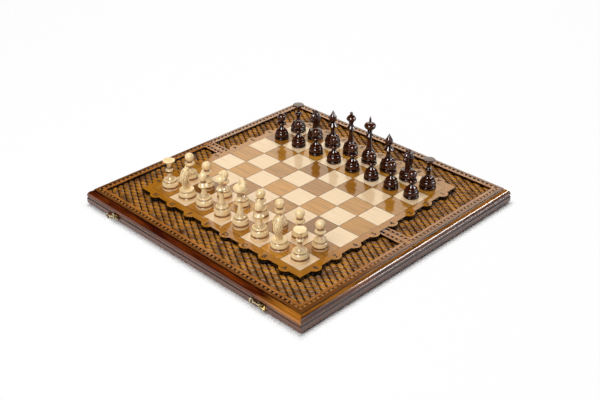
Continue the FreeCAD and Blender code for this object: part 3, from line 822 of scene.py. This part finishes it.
# %% Burn the coordinates
burnt_finish, paint = new_finish("burnt_marks")
char = mottle(paint, 1.5)
burn = blend(char, (22, 10, 4), (52, 26, 10))
close_finish(paint, {"Base Color": burn, "Roughness": 0.5 + char * 0.3})

mark_height = 9.0
mark_line = 181.8
mark_stroke = 0.28 * MM
mark_thickness = 0.03 * MM
mark_lift = 0.02 * MM
capital_share = 0.72


def mark_mesh(text):
    """One flat letter or number, its middle at the origin."""
    words = bpy.data.curves.new("mark", "FONT")
    words.body = text
    words.size = mark_height * MM / capital_share
    words.align_x = "CENTER"
    words.offset = mark_stroke
    words.extrude = mark_thickness
    words.resolution_u = 4
    holder = bpy.data.objects.new("mark", words)
    scene.collection.objects.link(holder)
    graph = bpy.context.evaluated_depsgraph_get()
    mesh = bpy.data.meshes.new_from_object(holder.evaluated_get(graph))
    bpy.data.objects.remove(holder)
    mesh.transform(Matrix.Translation((0, -mark_height / 2 * MM, 0)))
    return mesh


mark_sets = {half: bmesh.new() for half in halves}
for place in range(8):
    along = (3.5 - place) * square_side
    letter = "ABCDEFGH"[place]
    number = str(place + 1)
    for text, x, y, turn in (
        (letter, along, -mark_line, 0.0), (letter, along, mark_line, 180.0),
        (number, mark_line, along, 90.0), (number, -mark_line, along, -90.0),
    ):
        mesh = mark_mesh(text)
        lobe = Matrix.Translation((x * MM, y * MM, board_top + mark_lift))
        mesh.transform(lobe @ Matrix.Rotation(math.radians(turn), 4, "Z"))
        mark_sets["near" if y < 0 else "far"].from_mesh(mesh)
for half, build in mark_sets.items():
    mesh = mesh_of(build, half + "_burnt_coordinates")
    show(half + "_burnt_coordinates", mesh, half + "_half", burnt_finish)
    print(half, "coordinates:", len(mesh.polygons), "faces")

# %% [markdown]
# ## The turned men
# A turner cuts every man but the knight on the lathe, so each is one line spun round an axis.
# The line is drawn with arcs, and a Geometry Nodes tree spins it: it lays out a grid of one column for
# each point of the line and bends the grid round. A number stored on the line says how deep in a groove
# or how near to one each point lies, and the finish darkens there: partly stain, as it gathers on real
# men, and partly painted shade in and round the grooves.

# %% Lines of the men
man_sizes = {
    "king": (87.0, 13.4, 5.6, 11.6), "queen": (80.5, 13.8, 5.6, 12.0), "bishop": (69.0, 14.4, 5.0, 11.2),
    "knight": (57.0, 14.4, 3.4, 9.6), "rook": (52.5, 14.2, 4.6, 9.6), "pawn": (48.7, 12.8, 3.8, 9.2),
}
foot_shares = [(0.95, 0.0), (1.0, 0.45, 0.95, 0.92), (0.86, 1.0)]
ring_shares = [(0.975, 0.30, 0.93, 0.60), (0.88, 0.83, 0.78, 0.98), (0.66, 1.0)]
upper_shares = {
    "king": [(0.79, 0.009), (0.74, 0.032, 0.62, 0.054), (0.47, 0.097, 0.38, 0.15),
             (0.29, 0.258, 0.25, 0.387), (0.24, 0.423), (0.46, 0.443), (0.55, 0.456), (0.545, 0.467),
             (0.42, 0.504, 0.29, 0.547), (0.27, 0.58), (0.345, 0.606, 0.27, 0.63), (0.31, 0.648),
             (0.63, 0.678, 0.77, 0.735), (0.58, 0.797, 0.17, 0.811), (0.09, 0.831),
             (0.155, 0.881, 0.11, 0.938), (0.0, 1.0)],
    "queen": [(0.79, 0.01), (0.74, 0.032, 0.62, 0.054), (0.46, 0.089, 0.37, 0.14),
              (0.29, 0.254, 0.26, 0.397), (0.25, 0.471), (0.46, 0.493), (0.55, 0.507), (0.545, 0.52),
              (0.43, 0.556, 0.31, 0.601), (0.27, 0.644), (0.38, 0.715, 0.56, 0.757), (0.61, 0.773),
              (0.62, 0.798), (0.58, 0.82), (0.42, 0.868, 0.15, 0.906), (0.21, 0.954, 0.11, 0.989),
              (0.0, 1.0)],
    "bishop": [(0.79, 0.011), (0.79, 0.036, 0.74, 0.057), (0.48, 0.102, 0.34, 0.17),
               (0.25, 0.256, 0.225, 0.341), (0.225, 0.383), (0.48, 0.405), (0.61, 0.42), (0.6, 0.438),
               (0.44, 0.5, 0.29, 0.564), (0.26, 0.591), (0.46, 0.682, 0.31, 0.839), (0.11, 0.947),
               (0.0, 1.0)],
    "rook": [(0.78, 0.013), (0.78, 0.042, 0.73, 0.073), (0.48, 0.125, 0.34, 0.198),
             (0.265, 0.261, 0.25, 0.326), (0.24, 0.439), (0.34, 0.47), (0.44, 0.504, 0.36, 0.554),
             (0.22, 0.614), (0.2, 0.653), (0.29, 0.783, 0.52, 0.888), (0.6, 0.919), (0.68, 0.94),
             (0.71, 0.966, 0.675, 0.99), (0.42, 0.998, 0.14, 0.9997), (0.0, 1.0)],
    "pawn": [(0.8, 0.014), (0.8, 0.045, 0.745, 0.084), (0.52, 0.151, 0.36, 0.224),
             (0.27, 0.275, 0.25, 0.322), (0.25, 0.353), (0.5, 0.389), (0.67, 0.468, 0.5, 0.538),
             (0.27, 0.577), (0.26, 0.59), (0.6016, 0.784, 0.12, 0.9957), (0.0, 1.0)],
    "knight": [(0.82, 0.012), (0.84, 0.045, 0.76, 0.075), (0.42, 0.085), (0.0, 0.085)],
}


def man_line(kind):
    """The turned line of a man in mm, as pairs of radius and height."""
    height, radius, flange, ring = man_sizes[kind]
    base = flange + ring
    upper = upper_shares[kind]
    zones = [(foot_shares, 0.0, flange), (ring_shares, flange, ring), (upper, base, height - base)]
    steps = [
        [share * radius if place % 2 == 0 else start + share * rise for place, share in enumerate(step)]
        for shares, start, rise in zones for step in shares
    ]
    return outline((0.0, 0.0), steps, 9)


def groove_depths(line):
    """How deep in or how near to a groove each point of the line lies, from 0 to 1."""
    reach = 2.2
    full_depth = 0.9
    spread = 3.4
    crown_start = 0.80
    crown_fade = 0.25
    lengths = [0.0]
    for (r1, h1), (r2, h2) in zip(line, line[1:]):
        lengths.append(lengths[-1] + math.hypot(r2 - r1, h2 - h1))

    def point_at(length):
        length = min(max(length, 0.0), lengths[-1])
        here = max(place for place in range(len(line) - 1) if lengths[place] <= length)
        share = (length - lengths[here]) / max(lengths[here + 1] - lengths[here], 1e-9)
        return Vector(line[here]).lerp(Vector(line[here + 1]), min(share, 1.0))

    hollows = []
    for length in lengths:
        before, here, after = (point_at(length + step) for step in (-reach, 0.0, reach))
        run = after - before
        outward = Vector((run.y, -run.x)).normalized() if run.length else Vector((1, 0))
        hollow = ((before + after) / 2 - here).dot(outward) / full_depth
        crown = max(0.0, here.y / line[-1][1] - crown_start) / (1.0 - crown_start)
        hollows.append((here, min(1.0, max(0.0, hollow)) * max(0.0, 1.0 - crown / crown_fade)))
    return [
        max(hollow * max(0.0, 1.0 - (spot - here).length / spread) for spot, hollow in hollows)
        for here, _ in hollows
    ]


man_lines = {kind: man_line(kind) for kind in man_sizes}
print("points on each line:", {kind: len(line) for kind, line in man_lines.items()})

# %% The tree that spins a line
turning_tree, given = new_tree("lathe_turning", {"Points": "Int", "Sides": "Int", "Finish": "Material"})
line_of_man = given["Geometry"]
rounds = given["Sides"] + 1.0
sheet = line_of_man.add("GeometryNodeMeshGrid", {}, {"Vertices X": given["Points"], "Vertices Y": rounds})
index = line_of_man.add("GeometryNodeInputIndex")
step = (index / rounds).floor()
turn = (index - step * rounds) / given["Sides"] * math.tau
spot = line_of_man.add("GeometryNodeInputPosition")


def from_line(kind, value):
    """What a point of the grid takes over from its point of the line."""
    sockets = {"Geometry": line_of_man, "Value": value, "Index": step}
    return line_of_man.add("GeometryNodeSampleIndex", {"data_type": kind}, sockets)


drawn = from_line("FLOAT_VECTOR", spot)
radius = drawn.add("ShaderNodeSeparateXYZ", {}, {"Vector": drawn}, "X")
across = radius * turn.cosine()
ahead = radius * turn.sine()
spun = vector_of(drawn, across, ahead, radius.other("Z"))
shaded = store(sheet, "groove", from_line("FLOAT", stored(line_of_man, "groove")))
bent = shaded.add("GeometryNodeSetPosition", {}, {"Geometry": shaded, "Position": spun})
closed = bent.add("GeometryNodeMergeByDistance", {}, {"Geometry": bent, "Distance": 0.005 * MM})
close_tree(closed, given["Finish"])
print("lathe_turning has", len(turning_tree.nodes), "nodes")

# %% Finishes of the men
def man_finish(name, pale, deep, groove_stain_and_shade, gloss):
    """Polished wood between two tones, with its grooves in a colour that is partly stain, partly painted
    shade.
    """
    material, paint = new_finish(name)
    groove = paint.add("ShaderNodeAttribute", {"attribute_name": "groove"}, {}, "Fac")
    line = fibres(paint, 2, 0.9, 28.0)
    wood = blend(line.rise(0.32, 0.70), pale, deep)
    # Partly stain and partly painted shade: the finish darkens in and round the grooves.
    stain = blend(groove.rise(0.10, 0.75) * 0.95, wood, groove_stain_and_shade)
    sockets = {**varnish, "Base Color": stain, "Coat Roughness": gloss, "Roughness": 0.30 + groove * 0.2}
    close_finish(paint, sockets, line, 0.02)
    return material


man_finishes = {
    "white": man_finish("boxwood", (255, 232, 184), (253, 217, 156), (142, 76, 18), 0.04),
    "dark": man_finish("dark_stained_men", (84, 34, 7), (40, 13, 3), (6, 2, 1), 0.03),
}
print("finishes of the men:", [finish.name for finish in man_finishes.values()])

# %% Spin the lines
man_sides = 52


def turned_mesh(name, line, finish, sides=man_sides):
    """A line of radius and height, spun to a mesh that knows its grooves."""
    start = bpy.data.meshes.new(name)
    start.from_pydata([(radius * MM, 0, height * MM) for radius, height in line], [], [])
    groove = start.attributes.new("groove", "FLOAT", "POINT")
    groove.data.foreach_set("value", groove_depths(line))
    mesh = grow(name, start, turning_tree, {"Points": len(line), "Sides": sides, "Finish": finish})
    build = bmesh.new()
    build.from_mesh(mesh)
    bmesh.ops.recalc_face_normals(build, faces=build.faces)
    build.to_mesh(mesh)
    build.free()
    return smooth(mesh, 42.0)


turned_men = {}
for side, finish in man_finishes.items():
    for kind, line in man_lines.items():
        turned_men[side, kind] = turned_mesh("turned_" + side + "_" + kind, line, finish)
print("a turned king has", len(turned_men["white", "king"].polygons), "faces")

# %% [markdown]
# ## The knights
# A knight is turned only at its foot; the head is carved by hand. It is built the way a carver thinks:
# a neck, a bowed head, cheeks, ears and locks of mane as separate rounded forms, which are then melted
# into one skin with a fine voxel remesh and smoothed. The number for grooves comes from how hollow
# the skin is at each point.

# %% Rounded forms for the head
def add_tube(build, rings, sides=14):
    """A closed tube through rings: each a place, half depth, half width and direction in the YZ plane."""
    loops = []
    for (x, y, z), deep, wide, (dy, dz) in rings:
        size = math.hypot(dy, dz)
        across = Vector((0, dz / size, -dy / size))
        loop = []
        for side in range(sides):
            angle = math.tau * side / sides
            sideways = Vector((wide * math.cos(angle), 0, 0))
            spot = Vector((x, y, z)) + sideways + across * (deep * math.sin(angle))
            loop.append(build.verts.new(spot * MM))
        loops.append(loop)
    for first, last in zip(loops, loops[1:]):
        for here in range(sides):
            after = (here + 1) % sides
            build.faces.new((first[here], first[after], last[after], last[here]))
    build.faces.new(list(reversed(loops[0])))
    build.faces.new(loops[-1])


def add_ball(build, place, radii):
    """A rounded lump with three radii."""
    size = Matrix.Diagonal((*[radius * MM for radius in radii], 1.0))
    shape = Matrix.Translation(Vector(place) * MM) @ size
    bmesh.ops.create_icosphere(build, subdivisions=2, radius=1.0, matrix=shape)


def add_lock(build, places, thick, thin):
    """A lock of mane through places, tapered to its tip."""
    count = len(places)
    rings = []
    for number, place in enumerate(places):
        before = places[max(0, number - 1)]
        after = places[min(count - 1, number + 1)]
        size = thick + (thin - thick) * (number / (count - 1)) ** 1.6
        rings.append((place, size, size * 0.85, (after[1] - before[1], after[2] - before[2])))
    add_tube(build, rings, 8)


print("forms ready: add_tube, add_ball, add_lock")

# %% Carve one head
neck_rings = [
    (14.0, 0.2, 5.6), (19.5, 0.0, 5.2), (24.0, -0.8, 5.3), (30.0, -2.0, 6.0), (36.0, -2.4, 6.5),
    (42.0, -1.6, 6.4), (47.0, -0.4, 5.4), (51.0, 0.6, 3.8), (53.5, 1.0, 1.6),
]
mane_top = 53.0
mane_steps = 14
head_rings = [
    ((0, 0.4, 47.2), 3.6, 3.8), ((0, 2.6, 45.4), 4.8, 4.5), ((0, 5.4, 42.6), 4.5, 4.3),
    ((0, 8.0, 39.6), 3.6, 3.5), ((0, 10.0, 37.4), 3.2, 3.3), ((0, 11.3, 36.0), 2.4, 2.5),
    ((0, 11.9, 35.3), 1.2, 1.3),
]
ear_rings = [
    ((2.5, 1.6, 49.5), 2.0, 1.5), ((2.9, 1.9, 52.6), 1.8, 1.3), ((2.9, 2.5, 55.0), 1.1, 0.8),
    ((2.7, 2.9, 56.6), 0.3, 0.3),
]
lumps = [
    ((3.3, 4.4, 41.0), (2.3, 3.9, 4.3)), ((3.9, 6.8, 45.0), (1.2, 2.2, 1.1)),
    ((4.2, 6.9, 43.6), (0.9, 1.2, 1.0)), ((2.5, 11.0, 37.0), (1.0, 1.2, 1.1)),
]
forelock = [(0, 1.5, 53.0), (0, 4.0, 51.4), (0.5, 6.2, 48.6), (0.2, 7.6, 45.8), (0.6, 8.6, 43.6)]


def neck_at(height):
    """The middle and the radius of the neck at a height, between its rings."""
    for (low, y1, r1), (high, y2, r2) in zip(neck_rings, neck_rings[1:]):
        if height <= high:
            share = (height - low) / (high - low)
            return y1 + (y2 - y1) * share, r1 + (r2 - r1) * share
    return neck_rings[-1][1:]


def mane_lock(side, turn, foot):
    """A lock that starts at the poll and snakes down the neck, wound round it by an angle."""
    places = []
    for step in range(mane_steps + 1):
        share = step / mane_steps
        height = mane_top - (mane_top - foot) * share
        snake = 20.0 * math.sin(math.tau * 1.05 * share)
        angle = math.radians(turn * min(1.0, 0.30 + 1.5 * share) + snake)
        middle, radius = neck_at(height)
        out = side * (radius + 0.2) * math.sin(angle)
        places.append((out, middle - (radius + 0.5) * math.cos(angle), height))
    return places


def knight_head():
    """Neck, head, cheeks, brows, eyes, nostrils, ears and mane as separate overlapping forms."""
    build = bmesh.new()
    up = (0.0, 1.0)
    neck = [((0, middle, height), radius * 1.08, radius * 0.9, up) for height, middle, radius in neck_rings]
    add_tube(build, neck, 20)
    bow = (0.69, -0.73)
    add_tube(build, [(*ring, bow) for ring in head_rings], 18)
    for side in (-1, 1):
        for (x, y, z), radii in lumps:
            add_ball(build, (side * x, y, z), radii)
        add_tube(build, [((side * x, y, z), deep, wide, up) for (x, y, z), deep, wide in ear_rings], 10)
        for turn, foot in ((26.0, 21.0), (56.0, 22.5), (86.0, 24.5), (116.0, 28.0)):
            add_lock(build, mane_lock(side, turn, foot), 1.9, 0.9)
    add_lock(build, forelock, 1.5, 0.4)
    return mesh_of(build, "knight_head")


carving = bpy.data.objects.new("knight_head", knight_head())
scene.collection.objects.link(carving)
skin = carving.modifiers.new("skin", "REMESH")
skin.mode = "VOXEL"
skin.voxel_size = 0.42 * MM
even_out = carving.modifiers.new("even_out", "SMOOTH")
even_out.factor = 0.5
even_out.iterations = 2
lighten = carving.modifiers.new("lighten", "DECIMATE")
lighten.ratio = 0.35
graph = bpy.context.evaluated_depsgraph_get()
head_mesh = bpy.data.meshes.new_from_object(carving.evaluated_get(graph))
bpy.data.objects.remove(carving)
print("carved head has", len(head_mesh.polygons), "faces")

# %% Put head and foot together
def hollows(mesh):
    """How hollow a skin is at each of its points, from 0 to 1."""
    full_hollow = 0.09 * MM
    build = bmesh.new()
    build.from_mesh(mesh)
    build.normal_update()
    values = []
    for vertex in build.verts:
        around = [edge.other_vert(vertex).co for edge in vertex.link_edges]
        middle = sum(around, Vector()) / len(around)
        values.append(min(1.0, max(0.0, (middle - vertex.co).dot(vertex.normal) / full_hollow)))
    build.free()
    return values


head_groove = head_mesh.attributes.new("groove", "FLOAT", "POINT")
head_groove.data.foreach_set("value", hollows(head_mesh))
for side in man_finishes:
    build = bmesh.new()
    build.from_mesh(turned_men[side, "knight"])
    build.from_mesh(head_mesh)
    build.to_mesh(turned_men[side, "knight"])
    build.free()
    smooth(turned_men[side, "knight"], 42.0)
print("a knight has", len(turned_men["white", "knight"].polygons), "faces")

# %% Stand the men on their squares
for side, finish in man_finishes.items():
    facing = Matrix.Rotation(math.pi if side == "dark" else 0.0, 4, "Z")
    for node in sorted(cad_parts):
        owner, _, rest = node.partition("_")
        kind = rest.split("_")[0]
        if owner != side or kind not in man_sizes:
            continue
        low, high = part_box(node)
        middles = [(low[axis] + high[axis]) / 2 / MM / square_side for axis in (0, 1)]
        x, y = ((round(middle - 0.5) + 0.5) * square_side for middle in middles)
        mesh = turned_men[side, kind].copy()
        mesh.transform(Matrix.Translation((x * MM, y * MM, low.z)) @ facing)
        show("turned_" + node, mesh, node, finish, [node])

# %% [markdown]
# ## Brass
# Hooks, plates, rivets, keepers, hinges and screws are polished brass that has darkened where fingers
# don't reach. Metal takes its look from what it mirrors, so the finish is mostly a tint, with a
# roughness that wanders and a darker tarnish in soft patches.

# %% Dress the brass
brass_finish, paint = new_finish("aged_brass")
haze = mottle(paint, 3.5, 4.0)
scratch = fibres(paint, 0, 0.25, 6.0)
tint = blend(haze.rise(0.36, 0.62), (208, 192, 148), (92, 72, 40))
close_finish(paint, {"Base Color": tint, "Metallic": 1.0, "Roughness": 0.18 + haze * 0.22}, scratch, 0.02)
brass_nodes = ["hinge_pins", "left_hook", "right_hook", "hook_plates", "hook_rivets", "keepers"]
brass_nodes += [half + part for half in halves for part in ("_hinge_leaves", "_screws")]
for node in brass_nodes:
    dress(node, brass_finish)
print("brass on", len(brass_nodes), "nodes")

# %% [markdown]
# ## The hidden side
# Below are the backgammon trays: hinge rails, inlaid points in two woods, and small felt pads that keep
# the rims off the table. Felt is soft and fuzzy, so its solids are replaced by rounded discs, spun by
# the same tree as the men, with a cloth finish of short tangled hairs.

# %% Points of the backgammon trays
point_finish, paint = new_finish("inlaid_points")
x = place_of(paint)
low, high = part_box("near_backgammon_points")
points_in_row = 12
point_step = (high.x - low.x) / points_in_row
number = ((x - low.x) / point_step).floor()
line = fibres(paint, 1, 0.9, 50.0)
pale = blend(line.rise(0.35, 0.7), (228, 192, 138), (206, 164, 106))
deep = blend(line.rise(0.35, 0.7), (96, 50, 20), (66, 30, 12))
row_two = x.other("Y") < (low.y + high.y) / 2
stain = blend((number + row_two) % 2.0, pale, deep)
close_finish(paint, varnished(stain, line), line, 0.02)
hinge_rail_finish = rail_finish("hinge_rail_stain_and_painted_light", 0)
for half in halves:
    dress(half + "_backgammon_points", point_finish)
    dress(half + "_hinge_rail", hinge_rail_finish)
print("points every", round(point_step / MM, 1), "mm")

# %% Felt pads
felt_finish, paint = new_finish("green_black_felt")
hair = mottle(paint, 0.5, 5.0)
patch = mottle(paint, 2.2)
cloth = blend(hair.rise(0.3, 0.75), (28, 26, 24), (58, 54, 50))
close_finish(paint, {"Base Color": cloth, "Roughness": 0.85 + patch * 0.15, "Sheen Weight": 0.4}, hair, 0.25)

pad_steps = [(3.3, 0.0), (3.85, 0.25, 4.0, 0.8), (4.0, 2.4), (3.9, 2.85, 3.4, 3.0), (0.0, 3.0)]
pad_mesh = turned_mesh("felt_pad", outline((0.0, 0.0), pad_steps, 4), felt_finish, 28)


def islands(mesh):
    """The middle of each separate shell of a mesh, found by flooding from point to point."""
    build = bmesh.new()
    build.from_mesh(mesh)
    bmesh.ops.remove_doubles(build, verts=build.verts, dist=0.001 * MM)
    middles, waiting = [], set(build.verts)
    while waiting:
        shell, edge_of_shell = set(), [waiting.pop()]
        while edge_of_shell:
            vertex = edge_of_shell.pop()
            shell.add(vertex)
            for edge in vertex.link_edges:
                other = edge.other_vert(vertex)
                if other in waiting:
                    waiting.remove(other)
                    edge_of_shell.append(other)
        spots = [vertex.co for vertex in shell]
        ends = [[pick(spot[axis] for spot in spots) for pick in (min, max)] for axis in range(3)]
        middles.append(Vector([(low + high) / 2 for low, high in ends]))
    build.free()
    return middles


for half in halves:
    node = half + "_felt_pads"
    build = bmesh.new()
    for middle in islands(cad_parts[node].data):
        disc = pad_mesh.copy()
        disc.transform(Matrix.Translation((middle.x, middle.y, 0)))
        build.from_mesh(disc)
    mesh = mesh_of(build, half + "_soft_pads")
    show(half + "_soft_pads", smooth(mesh), half + "_half", felt_finish, [node])
    print(half, "felt pads:", len(mesh.polygons), "faces")

# %% [markdown]
# ## Last measures
# The dressed object should keep the size of the solids, so both boxes are printed side by side.

# %% Print the boxes
low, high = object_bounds()
for label, sides in (("visual", high - low), ("CAD", cad_high - cad_low)):
    print(label, "box", [round(side, 4) for side in sides])
